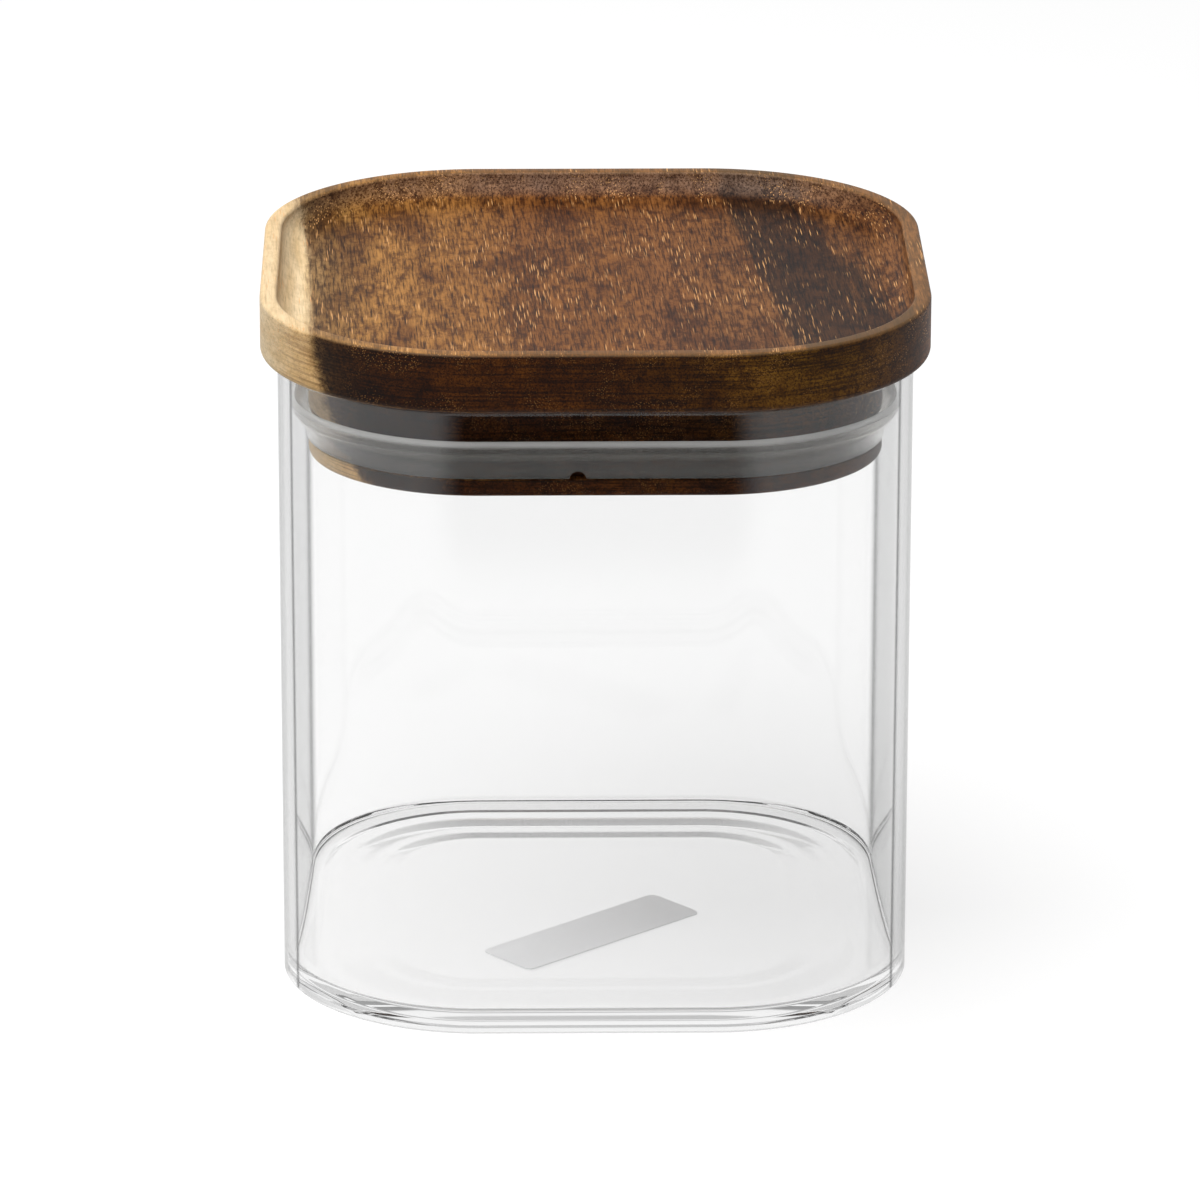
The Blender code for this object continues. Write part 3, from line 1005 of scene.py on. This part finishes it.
def floor_dimming(tree, ray):
    """How much of the floor a ray doesn't see: 0 for the camera, 1 for the card's reflection."""
    card = dark_card(tree)
    reflected = node(tree, MATH, {0: ray.outputs["Is Glossy Ray"], 1: ray.outputs["Is Reflection Ray"]},
                     operation="MULTIPLY")
    in_one_wall = node(tree, MATH, {0: ray.outputs["Transmission Depth"], 1: ONE_WALL},
                       operation="LESS_THAN")
    leaving = node(tree, MATH, {0: ray.outputs["Is Transmission Ray"], 1: in_one_wall},
                   operation="MULTIPLY")
    mirrored = node(tree, MATH, {0: ray.outputs["Glossy Depth"], 1: 1.0}, operation="MINIMUM")
    bounced = node(tree, MATH, {0: mirrored, 1: leaving}, operation="MULTIPLY")
    strength = node(tree, MATH, {0: card, 1: BOUNCE_DIMMING}, operation="MAXIMUM")
    bounced = node(tree, MATH, {0: bounced, 1: strength}, operation="MULTIPLY")
    hidden = node(tree, MATH, {0: reflected, 1: card}, operation="MULTIPLY")
    return node(tree, MATH, {0: bounced, 1: hidden}, operation="MAXIMUM")


# %% White photo table
def photo_table():
    """A white table that glows by itself in part, so that shadows on it stay light."""
    material, tree, output = new_material("white_photo_table")
    ray = node(tree, LIGHT_PATH)
    matt = node(tree, "ShaderNodeBsdfDiffuse", {"Color": (FLOOR_ALBEDO, FLOOR_ALBEDO, FLOOR_ALBEDO, 1.0)})
    glows = node(tree, MATH, {0: 1.0, 1: ray.outputs["Is Diffuse Ray"]}, operation="SUBTRACT")
    strength = node(tree, MATH, {0: glows, 1: FLOOR_GLOW}, operation="MULTIPLY")
    glow = node(tree, "ShaderNodeEmission", {"Color": linear("#FFFFFF"), "Strength": strength})
    lit = node(tree, "ShaderNodeAddShader", {0: matt, 1: glow})
    unlit = node(tree, "ShaderNodeEmission", {"Strength": 0.0})
    surface = node(tree, MIX_SHADER, {0: floor_dimming(tree, ray), 1: lit, 2: unlit})
    tree.links.new(surface.outputs["Shader"], output.inputs["Surface"])
    return material


bpy.ops.mesh.primitive_plane_add(size=FLOOR_SIZE, location=(0, 0, -FLOOR_DROP))
floor = bpy.context.object
floor.name = "photo_table"
floor.data.materials.append(photo_table())
print("floor", FLOOR_SIZE, "m wide")

# %% [markdown]
# ## Surroundings
#
# The horizon is white, as in a photo tent, and the sky above is dark, so that the rounds
# of the base and rim, which throw the eye upward, draw themselves as dark lines. The
# camera itself sees white everywhere.

# %% Surroundings
HORIZON_END = 20
SKY_START = 35
SKY_SHADE = 0.10
AMBIENT = 0.4
WHITE = (1, 1, 1, 1)


def surroundings():
    """White to the camera and round the horizon, dark overhead for reflections."""
    world = bpy.data.worlds.new("photo_tent")
    bpy.context.scene.world = world
    world.use_nodes = True
    tree = world.node_tree
    tree.nodes.clear()
    climb = node(tree, XYZ, {"Vector": node(tree, COORDINATES).outputs["Generated"]}).outputs["Z"]
    up = node(tree, MAP_RANGE, {
        "Value": climb, "From Min": math.sin(math.radians(HORIZON_END)),
        "From Max": math.sin(math.radians(SKY_START))}, interpolation_type=SMOOTH)
    sky = node(tree, MIX, {SHARE: up, FIRST: WHITE, SECOND: (SKY_SHADE, SKY_SHADE, SKY_SHADE, 1)},
               data_type="RGBA")
    ray = node(tree, LIGHT_PATH)
    seen = node(tree, MIX, {SHARE: ray.outputs["Is Camera Ray"], FIRST: sky, SECOND: WHITE},
                data_type="RGBA")
    strength = node(tree, MAP_RANGE, {
        "Value": ray.outputs["Is Diffuse Ray"], "To Min": 1.0, "To Max": AMBIENT})
    background = node(tree, "ShaderNodeBackground", {"Color": seen, "Strength": strength})
    output = node(tree, "ShaderNodeOutputWorld")
    tree.links.new(background.outputs["Background"], output.inputs["Surface"])


surroundings()
bpy.context.scene.view_settings.view_transform = "Standard"
print("white up to", HORIZON_END, "degrees, dark from", SKY_START)

# %% [markdown]
# A ray that enters the thick edge of the base runs across it like light in an optical
# fibre, bouncing between its two faces. With the usual number of bounces it would be
# given up half-way and drawn black, so this scene allows more.

# %% Bounces
cycles = bpy.context.scene.cycles
cycles.max_bounces = 32
cycles.glossy_bounces = 24
cycles.transmission_bounces = 24
print("bounces:", cycles.max_bounces)

# %% [markdown]
# ## Light
#
# Two large soft lights hang over the jar. The overhead one, a little to the left, makes
# the tray the brightest part of the lid. A weaker one in front and above keeps the dark
# front of the lid readable. Neither is seen through the glass.

# %% Lights
JAR_MIDDLE = (0.0, 0.0, JAR_TOP / 2)
OVERHEAD_POWER = 10.0
FILL_POWER = 3.8


def soft_light(name, place, aim, width, depth, power):
    """A rectangular lamp that faces its aim."""
    lamp = bpy.data.lights.new(name, "AREA")
    lamp.shape = "RECTANGLE"
    lamp.size = width
    lamp.size_y = depth
    lamp.energy = power
    holder = bpy.data.objects.new(name, lamp)
    bpy.context.collection.objects.link(holder)
    holder.location = place
    holder.visible_transmission = False
    holder.rotation_euler = (Vector(aim) - Vector(place)).to_track_quat("-Z", "Y").to_euler()
    print(name, power, "W")


soft_light("overhead", (-0.26, -0.03, 0.90), JAR_MIDDLE, 0.9, 0.7, OVERHEAD_POWER)
soft_light("fill", (-0.25, -0.62, 0.80), JAR_MIDDLE, 0.8, 0.6, FILL_POWER)

# %% [markdown]
# ## Camera
#
# The photograph was taken from about 1.2 m away with a long lens, looking down by 19
# degrees. The lens is given by its focal length in pixels of a picture 1200 pixels wide,
# and the jar's middle falls on a measured place in that picture.

# %% Camera
PICTURE = 1200
FOCAL_PIXELS = 7932
DISTANCE = 1.2155
AIM_PIXEL = (593.2, 614.8)
AIM_HEIGHT = 0.050
LOOK_DOWN = math.radians(18.84)
TURN = math.radians(1.0)
ROLL = math.radians(0.1)
SENSOR = 36.0
NEAREST = 0.01

camera_data = bpy.data.cameras.new("camera")
camera_data.sensor_width = SENSOR
camera_data.lens = SENSOR * FOCAL_PIXELS / PICTURE
camera_data.clip_start = NEAREST
camera = bpy.data.objects.new("camera", camera_data)
bpy.context.collection.objects.link(camera)
bpy.context.scene.camera = camera

# %% [markdown]
# The camera's three directions come from its angles: forward, then level right and up,
# then both rolled. The place is found by walking back from the aim, and sideways by the
# pixels that the aim lies off the picture's middle.

# %% Place the camera
forward = Vector((math.sin(TURN) * math.cos(LOOK_DOWN), math.cos(TURN) * math.cos(LOOK_DOWN),
                  -math.sin(LOOK_DOWN)))
level_right = Vector((math.cos(TURN), -math.sin(TURN), 0))
level_up = level_right.cross(forward)
right = math.cos(ROLL) * level_right + math.sin(ROLL) * level_up
up = math.cos(ROLL) * level_up - math.sin(ROLL) * level_right
metres_per_pixel = DISTANCE / FOCAL_PIXELS
place = Vector((0, 0, AIM_HEIGHT)) - forward * DISTANCE
place -= right * (AIM_PIXEL[0] - PICTURE / 2) * metres_per_pixel
place += up * (AIM_PIXEL[1] - PICTURE / 2) * metres_per_pixel
camera.matrix_world = Matrix((
    (right.x, up.x, -forward.x, place.x),
    (right.y, up.y, -forward.y, place.y),
    (right.z, up.z, -forward.z, place.z),
    (0, 0, 0, 1)))
print("camera at", [round(value, 3) for value in place])
